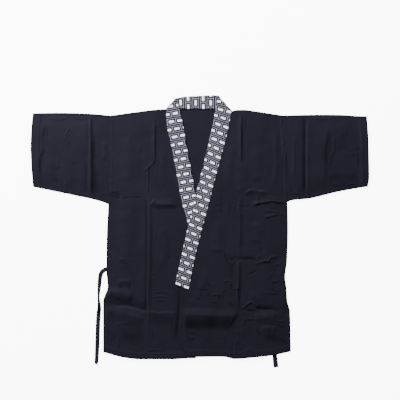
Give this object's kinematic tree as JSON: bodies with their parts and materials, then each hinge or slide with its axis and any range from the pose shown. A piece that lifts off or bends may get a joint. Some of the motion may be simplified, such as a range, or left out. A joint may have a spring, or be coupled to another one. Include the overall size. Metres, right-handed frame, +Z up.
{
  "type": "chef jacket",
  "caption": "Kimono-style chef jacket laid flat, front up: wrapped front, broad printed neckband, straight sleeves, turned hems and tie tapes at the side seams.",
  "frame": {"origin": "on the surface it lies on, under the middle of the whole outline", "axes": "+X from the wearer's right cuff to the left cuff, +Y from the hem to the shoulders, +Z up off the surface"},
  "size_m": [1.0477, 0.845, 0.0132],
  "materials": {
    "cloth": "navy-black twill, matt with a faint sheen",
    "band_print": "cotton with a dark navy print that leaves white bricks and a grey-lilac lattice, matt; the colour given is the mean",
    "tape": "narrow folded tape of the body cloth, matt"
  },
  "bodies": {
    "root": {"back": "cloth", "front_right": "cloth", "front_left": "cloth", "sleeve_right": "cloth", "sleeve_left": "cloth", "collar": "band_print", "tie_right": "tape", "tie_left": "tape"}
  },
  "joints": []
}
